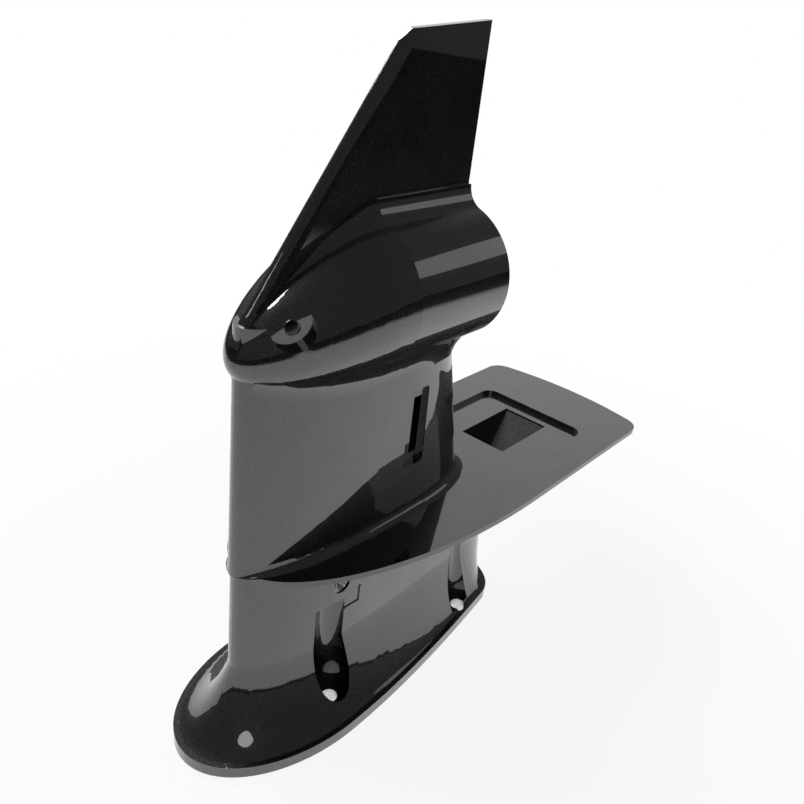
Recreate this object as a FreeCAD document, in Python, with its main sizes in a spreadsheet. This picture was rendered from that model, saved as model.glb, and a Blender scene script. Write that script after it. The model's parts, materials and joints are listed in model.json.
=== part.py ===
import FreeCAD, Part
import math
import os
import Sketcher

# Lower casing of a small outboard motor, standing upside down on its mounting flange: the skeg
# is at the top, the nose points to -X and starboard is -Y. The origin is where the drive shaft's
# axis crosses the flange face. All lengths are in millimetres.

SIZES = {
    # Levels above the flange face
    "flange_thickness": 6.4,
    "plate_level": 103.4,
    "plate_thickness": 3.2,
    "axis_height": 231.8,
    "skeg_tip_level": 357.4,
    # Torpedo, the gear housing round the propeller shaft's axis
    "torpedo_radius": 37.2,
    "torpedo_rear": 70.0,
    "nose_reach": 77.0,
    "nose_length": 78.0,
    "nose_drop": 17.0,
    # Strut between torpedo and plate
    "leading_edge": 74.4,
    "strut_half": 21.0,
    "strut_fillet": 24.0,
    "strut_rear_top": 70.0,
    "strut_rear_base": 91.0,
    "strut_nose": 75.0,
    "strut_tail": 52.0,
    "shoulder_fillet": 6.0,
    # Skeg
    "skeg_half_tip": 2.0,
    "skeg_half_root": 3.6,
    "skeg_fillet": 12.0,
    "skeg_front_tip": 9.0,
    "skeg_front_tip_level": 346.0,
    "skeg_front_root": -60.0,
    "skeg_front_root_level": 250.6,
    "skeg_toe": -69.6,
    "skeg_toe_level": 237.4,
    "skeg_rear_root": 70.0,
    "skeg_rear_tip": 74.0,
    "skeg_bevel": 9.0,
    "skeg_tip_rise": 6.0,
    # Anti-ventilation plate
    "plate_half": 62.3,
    "plate_rear": 228.0,
    "plate_bulge": 8.0,
    "plate_corner": 12.0,
    "plate_bow_end": 95.0,
    "plate_bow_start": 69.5,
    # Leg between plate and flange
    "leg_front": 73.0,
    "leg_half": 22.0,
    "leg_nose": 75.0,
    "leg_tail": 36.0,
    "leg_tail_half": 20.0,
    "leg_rear_foot": 130.0,
    "leg_rear_top": 160.0,
    "flare_height": 38.0,
    # Flange
    "flange_half": 45.6,
    "flange_front": 100.6,
    "flange_widest": -28.0,
    "flange_rear": 129.0,
    "flange_rear_half": 31.0,
    "flange_tail": 21.0,
    "foot_margin": 3.0,
    "bolt_hole": 4.5,
    "bolt_seat_level": 8.2,
    "front_bolt_x": 26.0,
    "front_bolt_y": 25.0,
    "front_bolt_pocket": 10.5,
    "rear_bolt_x": 84.0,
    "rear_bolt_y": 28.0,
    "rear_bolt_pocket": 9.5,
    # Exhaust: a trunk up the leg, and an outlet through the plate behind the strut
    "trunk_front": 46.0,
    "trunk_rear": 116.0,
    "trunk_half": 11.0,
    "trunk_top": 88.0,
    "outlet_front": 123.0,
    "outlet_rear": 178.0,
    "outlet_half": 16.5,
    "outlet_end_depth": 4.5,
    "hood_wall": 4.0,
    "shelf_front": 122.0,
    "shelf_rear": 188.0,
    "shelf_half": 40.0,
    "shelf_depth": 3.2,
    "shelf_corner": 8.0,
    # Cooling water: a recess on each flank with a window into a gallery
    "inlet_front": 20.0,
    "inlet_width": 16.0,
    "inlet_bottom": 133.0,
    "inlet_height": 46.0,
    "inlet_depth": 3.0,
    "window_width": 6.0,
    "window_inset": 6.0,
    "gallery_half": 7.0,
    # Oil holes, threaded
    "drain_x": 50.5,
    "drain_rise": 1.0,
    "oil_hole": 3.4,
    "oil_seat": 9.6,
    "drain_seat_y": 16.0,
    "level_x": 19.0,
    "level_level": 79.0,
    "level_seat_depth": 1.6,
    "drain_turn": 25.0,
    "level_seat": 5.6,
    # Bevel gears on the propeller shaft's axis, driven by the pinion
    "tooth_module": 1.78,
    "gear_teeth": 27,
    "pinion_teeth": 13,
    "tooth_face": 8.4,
    "tooth_backlash": 0.12,
    "gear_addendum": 1.25,
    "pinion_addendum": 2.15,
    "root_clearance": 0.35,
    "gear_back": 17.6,
    "gear_web": 21.5,
    "gear_ring": 14.8,
    "hub_radius": 12.5,
    "hub_spare": 0.4,
    "gear_bore": 10.0,
    "propeller_shaft": 8.5,
    "lug_count": 3,
    "lug_height": 3.0,
    "lug_outer": 14.3,
    "lug_angle": 42.0,
    # Fits between pieces, all on the radius
    "slip_fit": 0.02,
    "running_fit": 0.05,
    # Forward gear's taper roller bearing
    "bearing_outer": 23.5,
    "taper_width": 15.0,
    "cup_start": 19.0,
    "cup_end": 31.0,
    "taper_angle": 12.0,
    "taper_pitch": 18.0,
    "taper_middle": 25.1,
    "roller_radius": 2.8,
    "roller_length": 9.0,
    "roller_count": 15,
    "large_rib": 17.3,
    "small_rib": 15.0,
    "cage_half": 0.5,
    "cage_margin": 1.0,
    "shim_thickness": 0.5,
    "front_pocket": 16.5,
    "front_pocket_end": 40.0,
    # Reverse gear's ball bearing
    "ball_width": 12.0,
    "ball_radius": 3.4,
    "ball_pitch": 18.0,
    "ball_count": 9,
    "ring_shoulder": 1.7,
    "band_width": 9.4,
    "band_half": 0.8,
    # Bearing carrier in the torpedo's rear
    "carrier_radius": 26.0,
    "carrier_waist": 20.5,
    "carrier_recess": 6.5,
    "carrier_flange": 6.0,
    "carrier_disc": 30.0,
    "carrier_margin": 0.3,
    "ear_place": 31.0,
    "ear_radius": 6.5,
    "bolt_radius": 3.0,
    "bolt_grip": 16.0,
    "bolt_clearance": 0.3,
    "head_radius": 5.77,
    "head_height": 4.0,
    "washer_radius": 6.2,
    "washer_thickness": 1.2,
    "groove_place": 54.5,
    "groove_width": 3.2,
    "groove_depth": 2.4,
    "ring_fit": 0.025,
    "bush_outer": 11.5,
    "bush_start": 33.0,
    "bush_end": 49.0,
    "seal_outer": 15.0,
    "seal_width": 6.5,
    "seal_lip": 1.2,
    # Pinion, journalled by its hub in the casing
    "pinion_back": 27.0,
    "pinion_collar": 12.2,
    "pinion_hub": 9.0,
    "pinion_hub_end": 45.0,
    "pinion_seat": 28.6,
    "pinion_room": 16.0,
    "thrust_washer": 1.5,
    "needle_radius": 1.5,
    "needle_length": 12.6,
    "needle_count": 20,
    "shell_wall": 1.4,
    "shell_lip": 1.0,
    "shell_length": 16.6,
    # Drive shaft and shift rod passages
    "drive_shaft": 6.0,
    "spline_minor": 5.0,
    "spline_groove": 0.7,
    "spline_count": 12,
    "passage_radius": 8.5,
    "pump_seat": 24.0,
    "pump_seat_depth": 5.0,
    "shaft_seal_outer": 12.5,
    "shaft_seal_width": 7.0,
    "shaft_seal_end": 21.0,
    "sleeve_outer": 10.0,
    "sleeve_end": 46.0,
    "rod_place": 42.0,
    "rod_radius": 4.0,
    "rod_passage": 5.0,
    "rod_bush_outer": 7.0,
    "rod_bush_start": 2.0,
    "rod_bush_end": 11.0,
    "rod_ring_section": 1.35,
    "sump_radius": 7.0,
    "sump_end": 57.0,
    # Raised frame on the starboard flank, left bare
    "frame_front": -33.0,
    "frame_rear": -5.0,
    "frame_low": 60.5,
    "frame_high": 71.0,
    "frame_line": 1.2,
    "frame_height": 0.6,
    # Dowel holes in the flange face
    "dowel_radius": 3.0,
    "dowel_depth": 6.0,
    "front_dowel_x": 72.0,
    "front_dowel_y": 20.0,
    "rear_dowel_x": 104.0,
    "rear_dowel_y": 21.0,
}

doc = FreeCAD.newDocument("outboard_lower_casing")
sheet = doc.addObject("Spreadsheet::Sheet", "Dims")
for row, (name, value) in enumerate(SIZES.items(), start=1):
    sheet.set(f"A{row}", name)
    sheet.set(f"B{row}", str(value))
    sheet.setAlias(f"B{row}", name)
doc.recompute()


class Size:
    """A length that carries its number and the sheet expression that gives it."""

    def __init__(self, text, value):
        self.text = text
        self.value = value

    def __float__(self):
        return float(self.value)

    def join(self, sign, other, value):
        right = other.text if isinstance(other, Size) else repr(other)
        return Size(f"({self.text} {sign} {right})", value)

    def __add__(self, other):
        return self.join("+", other, self.value + float(other))

    def __sub__(self, other):
        return self.join("-", other, self.value - float(other))

    def __mul__(self, other):
        return self.join("*", other, self.value * float(other))

    def __truediv__(self, other):
        return self.join("/", other, self.value / float(other))

    def __neg__(self):
        return self * -1


def dim(name):
    """The sheet's value of that name."""
    return Size(f"Dims.{name}", float(sheet.get(name)))


def num(name):
    return float(dim(name))


def vec(x, y, z):
    return FreeCAD.Vector(float(x), float(y), float(z))


def bezier(points, middle_weight=1.0):
    """A degree two curve; with the weight of a quarter turn it is a quarter of an ellipse."""
    curve = Part.BSplineCurve()
    curve.buildFromPolesMultsKnots(points, (3, 3), (0, 1), False, 2, (1, middle_weight, 1))
    return curve.toShape()


QUARTER = math.cos(math.radians(45))


def plan_wire(level, front, nose, half, rear, tail, tail_half=None, flank=None):
    """A symmetric outline at one level: rounded nose, flank, rounded tail."""
    tail_half = half if tail_half is None else tail_half
    start = front + nose
    end = rear - tail
    flank = (start + end) / 2 if flank is None else flank
    slope = (tail_half - half) / (end - flank)
    corner = tail_half + slope * tail
    edges = []
    for side in (1, -1):
        bow = bezier([vec(front, 0, level), vec(front, side * half, level), vec(start, side * half, level)], QUARTER)
        run = bezier([vec(start, side * half, level), vec(flank, side * half, level), vec(end, side * tail_half, level)])
        stern = bezier([vec(end, side * tail_half, level), vec(rear, side * corner, level), vec(rear, 0, level)], QUARTER)
        edges += [bow, run, stern] if side == 1 else [stern, run, bow]
    return Part.Wire(edges)


def blend(first, last, share):
    return first + (last - first) * share


def leg_outline(level, grow=0.0):
    """The leg's outline; its tail leans aft from the foot to the plate."""
    low = num("flange_thickness") + num("flare_height")
    lean = (level - low) / (num("plate_level") - low)
    rear = blend(num("leg_rear_foot"), num("leg_rear_top"), lean) + grow
    front, nose, tail = -num("leg_front") - grow, num("leg_nose"), num("leg_tail")
    flank = front + nose + 0.4 * (num("leg_rear_foot") - tail - front - nose)
    half = num("leg_half") + grow
    return plan_wire(level, front, nose, half, rear, tail, num("leg_tail_half") + grow, flank)


def leg_form():
    """The leg and its flare, a stack of outlines that widen from the leg's to the flange's."""
    foot_level, top_level = num("flange_thickness"), num("plate_level")
    flare_top = foot_level + num("flare_height")
    margin = num("foot_margin")
    leg = (
        -num("leg_front"), num("leg_nose"), num("leg_half"),
        num("leg_rear_foot"), num("leg_tail"), num("leg_tail_half"),
    )
    foot = (
        margin - num("flange_front"),
        num("flange_widest") + num("flange_front") - margin,
        num("flange_half") - margin,
        num("flange_rear") - margin,
        num("flange_tail"),
        num("flange_rear_half") - margin,
    )
    wires = []
    for u in (1, 0.96, 0.88, 0.75, 0.58, 0.4, 0.22, 0.08, 0):
        share = 1 - (1 - u**1.3) ** 0.75
        front, nose, half, rear, tail, tail_half = [blend(a, b, share) for a, b in zip(leg, foot)]
        flank = front + nose + 0.4 * (rear - tail - front - nose)
        wires.append(plan_wire(flare_top - u * num("flare_height"), front, nose, half, rear, tail, tail_half, flank))
    flare = Part.makeLoft(wires, True, False)
    shank = Part.makeLoft([wires[-1], leg_outline(top_level)], True, True)
    return flare.fuse([shank, label_frame(flare_top)])


def label_frame(low):
    """A thin raised line round an empty field on the starboard flank."""
    grown = Part.makeLoft([leg_outline(low, num("frame_height")), leg_outline(90, num("frame_height"))], True, True)
    front, rear, line = num("frame_front"), num("frame_rear"), num("frame_line")
    base, high = num("frame_low"), num("frame_high")
    bars = [
        box((front, rear), (-30, -5), (base, base + line)),
        box((rear - line, rear), (-30, -5), (base, high)),
        box((front, front + line), (-30, -5), (base, base + 4 * line)),
    ]
    return grown.common(bars[0].fuse(bars[1:]))


def flange_form():
    outline = plan_wire(
        0, -num("flange_front"), num("flange_widest") + num("flange_front"), num("flange_half"),
        num("flange_rear"), num("flange_tail"), num("flange_rear_half"), 25.0)
    return Part.Face(outline).extrude(vec(0, 0, num("flange_thickness")))


def plate_form():
    """The plate's outline: half an ellipse in front, straight sides, rounded corners, a bulged rear."""
    half, rear, bulge = num("plate_half"), num("plate_rear"), num("plate_bulge")
    corner, bow_end, tip = num("plate_corner"), num("plate_bow_end"), -num("plate_bow_start")
    edges = []
    for side in (1, -1):
        bow = bezier([vec(tip, 0, 0), vec(tip, side * half, 0), vec(bow_end, side * half, 0)], QUARTER)
        edge = Part.makeLine(vec(bow_end, side * half, 0), vec(rear, side * half, 0))
        edges += [bow, edge]
    stern = Part.Arc(vec(rear, half, 0), vec(rear + bulge, 0, 0), vec(rear, -half, 0)).toShape()
    outline = Part.Wire(Part.__sortEdges__(edges + [stern]))
    slab = Part.Face(outline).extrude(vec(0, 0, num("plate_thickness")))
    corners = [e for e in slab.Edges if e.Length < 2 * num("plate_thickness") and e.CenterOfMass.x > rear - 1]
    slab = slab.makeFillet(corner, corners)
    slab.translate(vec(0, 0, num("plate_level") - num("plate_thickness")))
    return slab


def nose_share(x):
    """How far a section lies into the nose: 0 from the joint back, 1 at the tip."""
    joint = num("nose_length") - num("nose_reach")
    return max(0.0, (joint - x) / num("nose_length"))


def torpedo_radius_at(x):
    return num("torpedo_radius") * (1 - nose_share(x) ** 1.5) ** 0.5


def torpedo_centre_at(x):
    return num("axis_height") - num("nose_drop") * nose_share(x) ** 1.4


def torpedo_form():
    """A tube with a pointed nose whose centre line drops towards the strut as it narrows."""
    joint = num("nose_length") - num("nose_reach")
    tube = Part.makeCylinder(
        num("torpedo_radius"), num("torpedo_rear") - joint, vec(joint, 0, num("axis_height")), vec(1, 0, 0))
    rings = []
    for share in (0, 0.15, 0.3, 0.45, 0.6, 0.74, 0.85, 0.93, 0.98):
        x = joint - share * num("nose_length")
        circle = Part.Circle(vec(x, 0, torpedo_centre_at(x)), vec(1, 0, 0), torpedo_radius_at(x))
        rings.append(Part.Wire(circle.toShape()))
    tip = Part.Vertex(vec(-num("nose_reach"), 0, num("axis_height") - num("nose_drop")))
    return tube.fuse(Part.makeLoft(rings + [tip], True, False))


def root_section(x, side, half, fillet):
    """A slice across X that fills the corner between torpedo and fin: side is 1 above, -1 below."""
    sink = 0.05
    radius, middle = torpedo_radius_at(x) - sink, torpedo_centre_at(x)
    half -= sink
    centre_y = half + fillet
    centre_z = math.sqrt((radius + fillet) ** 2 - centre_y**2)
    reach = radius / (radius + fillet)
    turn = math.atan2(centre_z, centre_y)
    half_turn = turn / 2
    points = [
        (half, centre_z),
        (centre_y - fillet * math.cos(half_turn), centre_z - fillet * math.sin(half_turn)),
        (centre_y * reach, centre_z * reach),
        (centre_y * reach * 0.6, centre_z * reach * 0.5),
    ]
    right = [vec(x, y, middle + side * z) for y, z in points]
    left = [vec(x, -y, middle + side * z) for y, z in points]
    return Part.Wire([
        Part.makeLine(left[0], right[0]),
        Part.Arc(right[0], right[1], right[2]).toShape(),
        Part.makeLine(right[2], right[3]),
        Part.makeLine(right[3], left[3]),
        Part.makeLine(left[3], left[2]),
        Part.Arc(left[2], left[1], left[0]).toShape(),
    ])


def strut_rear_at(level):
    """The trailing edge leans forward from the plate to the torpedo's rear rim."""
    base, top = num("plate_level"), num("axis_height") - num("torpedo_radius")
    return blend(num("strut_rear_base"), num("strut_rear_top"), (level - base) / (top - base))


def strut_outline(level):
    return plan_wire(
        level, -num("leading_edge"), num("strut_nose"), num("strut_half"), strut_rear_at(level), num("strut_tail"))


def strut_half_at(x, level):
    """Half the strut's thickness at a distance along it."""
    half, start = num("strut_half"), num("strut_nose") - num("leading_edge")
    end = strut_rear_at(level) - num("strut_tail")
    if x < start:
        return half * math.sqrt(max(0.0, 1 - ((start - x) / num("strut_nose")) ** 2))
    if x > end:
        return half * math.sqrt(max(0.0, 1 - ((x - end) / num("strut_tail")) ** 2))
    return half


def strut_form():
    """The strut: a straight taper up from the plate, and a concave sweep out to the torpedo."""
    top = num("axis_height")
    column = Part.makeLoft([strut_outline(num("plate_level") - 1), strut_outline(top)], True, True)
    root = top - num("torpedo_radius") - 6
    first, last = 4 - num("leading_edge"), num("strut_rear_top") - 3
    wires = []
    for share in (0, 0.06, 0.13, 0.21, 0.31, 0.43, 0.56, 0.7, 0.82, 0.91, 0.96, 1):
        x = blend(first, last, share)
        swell = math.sin(math.pi * min(1.0, 0.08 + share * 1.05)) ** 0.5 if share < 0.5 else 1.0
        fillet = blend(0.25, 1.0, swell) * num("strut_fillet") if share < 0.5 else num("strut_fillet")
        wires.append(root_section(x, -1, strut_half_at(x, root), fillet))
    return column.fuse([Part.makeLoft(wires, True, False), strut_shoulder()])


def strut_shoulder():
    """A concave fillet where the strut stands on the plate."""
    reach = num("shoulder_fillet")
    wires = []
    for turn in (0, 18, 36, 54, 72, 90):
        rise = reach * (1 - math.cos(math.radians(turn)))
        grow = reach * (1 - math.sin(math.radians(turn))) - 0.02
        level = num("plate_level") - 0.1 + rise
        wires.append(plan_wire(
            level, -num("leading_edge"), num("strut_nose"), num("strut_half") + grow,
            strut_rear_at(level) + grow, num("strut_tail")))
    return Part.makeLoft(wires, True, False)


def skeg_outline(level, half):
    front_root, level_root = num("skeg_front_root"), num("skeg_front_root_level")
    rake = (num("skeg_front_tip") - front_root) / (num("skeg_front_tip_level") - level_root)
    lean = (num("skeg_rear_tip") - num("skeg_rear_root")) / (num("skeg_tip_level") - num("axis_height"))
    rear = num("skeg_rear_root") + lean * (level - num("axis_height"))
    return plan_wire(level, front_root + rake * (level - level_root), num("skeg_bevel"), half, rear, 1.5)


def skeg_form():
    """The fin: straight raked leading edge, a taper in thickness and a concave sweep at its root."""
    axis, root, tip = num("axis_height"), num("skeg_half_root"), num("skeg_half_tip")
    base = axis - num("nose_drop") + 2
    blade = Part.makeLoft([skeg_outline(base, root), skeg_outline(num("skeg_tip_level") + 1, tip)], True, True)
    low = num("skeg_tip_level") - num("skeg_tip_rise")
    past = num("skeg_rear_tip") + 1
    toe_x, toe_level = num("skeg_toe"), num("skeg_toe_level")
    side = [vec(toe_x / 2, -30, base)]
    for share in (1, 0.85, 0.6, 0.3, 0):
        x = blend(toe_x, 0.5 - num("nose_reach"), share)
        nose_top = torpedo_centre_at(x) + torpedo_radius_at(x)
        side.append(vec(x, -30, nose_top + (toe_level - torpedo_centre_at(toe_x) - torpedo_radius_at(toe_x)) * (1 - share) ** 1.3))
    side += [
        vec(-100, -30, toe_level),
        vec(-100, -30, low - 3),
        vec(num("skeg_front_tip"), -30, num("skeg_front_tip_level")),
        vec(num("skeg_front_tip") + 7, -30, low),
        vec(past, -30, num("skeg_tip_level")),
        vec(past, -30, axis + num("torpedo_radius") + 2),
        vec(num("torpedo_rear"), -30, axis + num("torpedo_radius")),
        vec(num("torpedo_rear"), -30, base),
    ]
    blade = blade.common(Part.Face(Part.makePolygon(side + [side[0]])).extrude(vec(0, 60, 0)))
    joint = num("nose_length") - num("nose_reach")
    wires = []
    for share in (0, 0.12, 0.27, 0.45, 0.64, 0.82, 1):
        x = blend(-53, joint, share)
        wires.append(root_section(x, 1, root * (0.55 + 0.8 * share), blend(0.15, 1, share) * num("skeg_fillet")))
    front = Part.makeLoft(wires, True, False)
    rear = Part.Face(wires[-1]).extrude(vec(num("torpedo_rear") - joint, 0, 0))
    return blade.fuse([front, rear])


def box(x, y, z, corner=0.0):
    """A block between two values on each axis, its upright edges rounded."""
    block = Part.makeBox(x[1] - x[0], y[1] - y[0], z[1] - z[0], vec(x[0], y[0], z[0]))
    if corner:
        upright = [e for e in block.Edges if abs(e.BoundBox.ZLength - (z[1] - z[0])) < 1e-6]
        block = block.makeFillet(corner, upright)
    return block


def side_profile(points, half):
    """A closed outline in the plane of symmetry, as thick as twice half."""
    corners = [vec(x, -half, z) for x, z in points]
    return Part.Face(Part.makePolygon(corners + [corners[0]])).extrude(vec(0, 2 * half, 0))


def outlet_hood():
    """Metal below the plate round the exhaust outlet and its shelves."""
    level, wall = num("plate_level") - 1, num("hood_wall")
    reach = num("shelf_half") + wall
    low = num("plate_level") - num("shelf_depth") - wall
    pan = box((num("shelf_front") - wall, num("shelf_rear") + wall), (-reach, reach), (low, level), num("shelf_corner"))
    chute = side_profile([
        (num("trunk_rear") - 20, level),
        (num("outlet_rear") + wall, level),
        (num("outlet_rear") + wall, low),
        (num("leg_rear_top") - 6, num("trunk_top") - 22),
        (num("trunk_rear") - 20, num("trunk_top") - 30),
    ], num("outlet_half") + wall)
    return pan.fuse(chute)


def exhaust_cut():
    level = num("plate_level") + 2
    half, top = num("outlet_half"), num("trunk_top")
    trunk = box((num("trunk_front"), num("trunk_rear")), (-num("trunk_half"), num("trunk_half")), (-1, top), 6)
    outlet = side_profile([
        (num("outlet_front"), level),
        (num("outlet_rear"), level),
        (num("outlet_rear"), num("plate_level") - num("outlet_end_depth")),
        (num("trunk_rear") + 6, top - 22),
        (num("trunk_rear") - 14, top - 22),
        (num("trunk_rear") - 14, top),
        (num("outlet_front"), top),
    ], half)
    throat = box((num("trunk_rear") - 16, num("trunk_rear") + 4), (-num("trunk_half"), num("trunk_half")), (top - 24, top))
    shelf = box((num("shelf_front"), num("shelf_rear")), (-num("shelf_half"), num("shelf_half")),
                (num("plate_level") - num("shelf_depth"), level), num("shelf_corner"))
    return [trunk, outlet, throat, shelf]


def water_cut():
    front, width = num("inlet_front"), num("inlet_width")
    low, height = num("inlet_bottom"), num("inlet_height")
    face = num("strut_half") - num("inlet_depth")
    inset = num("window_inset")
    cuts = []
    for side in (1, -1):
        y = sorted((side * face, side * (face + 20)))
        recess = Part.makeBox(width, y[1] - y[0], height, vec(front, y[0], low))
        lengthwise = [e for e in recess.Edges if abs(e.BoundBox.YLength - (y[1] - y[0])) < 1e-6]
        cuts.append(recess.makeFillet(2.5, lengthwise))
    start = front + inset + 1
    window = box((start, start + num("window_width")), (-30, 30), (low + inset, low + height - inset))
    gallery = box((start, start + num("window_width")), (-num("gallery_half"), num("gallery_half")),
                  (-1, low + height - inset))
    return cuts + [window, gallery]


def bolt_cut():
    cuts = []
    for x, y, pocket in (
        (-num("front_bolt_x"), num("front_bolt_y"), num("front_bolt_pocket")),
        (num("rear_bolt_x"), num("rear_bolt_y"), num("rear_bolt_pocket")),
    ):
        for side in (1, -1):
            cuts.append(Part.makeCylinder(num("bolt_hole"), 20, vec(x, side * y, -1)))
            cuts.append(Part.makeCylinder(pocket, 60, vec(x, side * y, num("bolt_seat_level"))))
    return cuts


def dowel_cut():
    places = ((-num("front_dowel_x"), num("front_dowel_y")), (num("rear_dowel_x"), -num("rear_dowel_y")))
    return [Part.makeCylinder(num("dowel_radius"), num("dowel_depth") + 1, vec(x, y, -1)) for x, y in places]


# Which way an object's own length runs: X for turned bodies, Z for cylinders and cones
TURNED = {
    "aft": FreeCAD.Rotation(),
    "fore": FreeCAD.Rotation(vec(0, 0, 1), 180),
    "up": FreeCAD.Rotation(vec(0, 1, 0), -90),
    "down": FreeCAD.Rotation(vec(0, 1, 0), 90),
}
AXIS = dim("axis_height")
ZERO = AXIS * 0
# Turn that carries an object's own Z axis along +X
ALONG_X = FreeCAD.Rotation(vec(0, 1, 0), 90)
UPRIGHT = FreeCAD.Rotation()


def put(item, x=None, y=None, z=None, turn=None):
    """Places an object; each coordinate stays bound to the sheet."""
    item.Placement = FreeCAD.Placement(vec(0, 0, 0), turn or UPRIGHT)
    for axis, size in (("x", x), ("y", y), ("z", z)):
        if size is not None:
            item.setExpression(f"Placement.Base.{axis}", size.text)
    return item


def bound(kind, name, **sizes):
    """A Part primitive whose measures are sheet expressions."""
    item = doc.addObject(f"Part::{kind}", name)
    for key, size in sizes.items():
        if isinstance(size, Size):
            item.setExpression(key, size.text)
        else:
            setattr(item, key, size)
    return item


def drill(name, radius, start, end, aft=False, x=None, y=None, z=None):
    """A round cutter between two places on the propeller shaft's axis, or on an upright one."""
    tool = bound("Cylinder", name, Radius=radius, Height=end - start)
    if aft:
        return put(tool, x=start, y=y, z=z or AXIS, turn=ALONG_X)
    return put(tool, x=x, y=y, z=start)


def joined(name, kind, items):
    """A fusion or a compound of several objects."""
    item = doc.addObject(f"Part::{kind}", name)
    setattr(item, "Links" if kind == "Compound" else "Shapes", items)
    return item


def less(name, base, tool):
    item = doc.addObject("Part::Cut", name)
    item.Base = base
    item.Tool = tool
    return item


def turned(name, facing, profile, x=None, z=None):
    """A body turned about the line it faces along, from (distance, radius) corners."""
    body = doc.addObject("PartDesign::Body", name)
    sketch = body.newObject("Sketcher::SketchObject", name + "_profile")
    plane = next(f for f in body.Origin.OriginFeatures if f.Role == "XY_Plane")
    sketch.AttachmentSupport = [(plane, "")]
    sketch.MapMode = "FlatFace"
    corners = [vec(along, radius, 0) for along, radius in profile]
    for here, there in zip(corners, corners[1:] + corners[:1]):
        sketch.addGeometry(Part.LineSegment(here, there))
    for i, corner in enumerate(profile):
        sketch.addConstraint(Sketcher.Constraint("Coincident", i, 2, (i + 1) % len(profile), 1))
        for kind, size in zip(("DistanceX", "DistanceY"), corner):
            at = sketch.addConstraint(Sketcher.Constraint(kind, -1, 1, i, 1, float(size)))
            sketch.setExpression(f"Constraints[{at}]", size.text)
    turning = body.newObject("PartDesign::Revolution", name + "_turning")
    turning.Profile = (sketch, [""])
    turning.ReferenceAxis = (sketch, ["H_Axis"])
    turning.Angle = 360
    return put(body, x=x, z=z, turn=TURNED[facing])


def tube(name, facing, start, end, inner, outer, x=None, z=None):
    return turned(name, facing, [(start, inner), (start, outer), (end, outer), (end, inner)], x=x, z=z)


def around(count, pitch, make, first=0.0):
    """Copies spaced evenly on a circle: make gets the number and the two offsets on the circle."""
    items = []
    for i in range(count):
        angle = first + 2 * math.pi * i / count
        items.append(make(i, pitch * math.cos(angle), pitch * math.sin(angle), angle))
    return items


# Gear geometry, all from the tooth module and the two tooth counts
GEAR_TEETH, PINION_TEETH = int(num("gear_teeth")), int(num("pinion_teeth"))
PRESSURE = math.radians(20)
SPAN = math.hypot(GEAR_TEETH, PINION_TEETH)
gear_pitch = dim("tooth_module") * (GEAR_TEETH / 2)
pinion_pitch = dim("tooth_module") * (PINION_TEETH / 2)
cone_length = dim("tooth_module") * (SPAN / 2)
inner_share = 1 - num("tooth_face") / float(cone_length)
SHIFT = (num("pinion_addendum") - num("gear_addendum")) / 2 / num("tooth_module")


def involute(angle):
    return math.tan(angle) - angle


def tooth_section(teeth, other, addendum, dedendum, shift, share):
    """A bevel tooth's planar outline at a share of the cone length; the gear's axis is +Z."""
    module, length = num("tooth_module"), float(cone_length)
    cos_cone, sin_cone = other / SPAN, teeth / SPAN
    pitch = module * teeth / 2 / cos_cone
    base = pitch * math.cos(PRESSURE)
    thickness = module * (math.pi / 2 + 2 * shift * math.tan(PRESSURE)) - num("tooth_backlash")
    half_pitch_angle = thickness / 2 / pitch

    def corner(radius):
        """Two mirrored points at one radius of the back cone, as rays from the cone's apex."""
        if radius > base:
            half = half_pitch_angle + involute(PRESSURE) - involute(math.acos(base / radius))
        else:
            half = half_pitch_angle + involute(PRESSURE)
        turn = half / cos_cone
        out, along = radius * cos_cone, length / cos_cone - radius * sin_cone
        middle = vec(sin_cone, 0, cos_cone)
        points = []
        for side in (1, -1):
            ray = vec(out * math.cos(turn), side * out * math.sin(turn), along)
            points.append(ray * (length * share / ray.dot(middle)))
        return points

    low, tip = pitch - dedendum, pitch + addendum
    foot = max(low, base)
    flank = [low - 0.35] + ([low] if low < base else []) + [foot + (tip - foot) * k / 4 for k in range(5)]
    pairs = [corner(radius) for radius in flank]
    return [pair[0] for pair in pairs] + [pair[1] for pair in reversed(pairs)]


def teeth_form(teeth, other, addendum, dedendum, shift, turn, first):
    """All the teeth of one bevel gear, its axis turned from +Z by the given rotation."""
    wires = []
    for share in (1, inner_share):
        points = tooth_section(teeth, other, addendum, dedendum, shift, share)
        wires.append(Part.makePolygon(points + [points[0]]))
    tooth = Part.makeLoft(wires, True, True)
    copies = []
    for i in range(teeth):
        copy = tooth.copy()
        copy.rotate(vec(0, 0, 0), vec(0, 0, 1), math.degrees(first) + 360 * i / teeth)
        copies.append(copy)
    form = Part.makeCompound(copies)
    form.Placement = FreeCAD.Placement(vec(0, 0, AXIS), turn)
    return form


def lofted(name, form):
    item = doc.addObject("Part::Feature", name)
    item.Shape = form
    return item


gear_dedendum = dim("pinion_addendum") + dim("root_clearance")
pinion_dedendum = dim("gear_addendum") + dim("root_clearance")
root_along = pinion_pitch + gear_dedendum * (GEAR_TEETH / SPAN)
root_out = gear_pitch - gear_dedendum * (PINION_TEETH / SPAN)
gear_face = root_along * inner_share - 0.4


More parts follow.
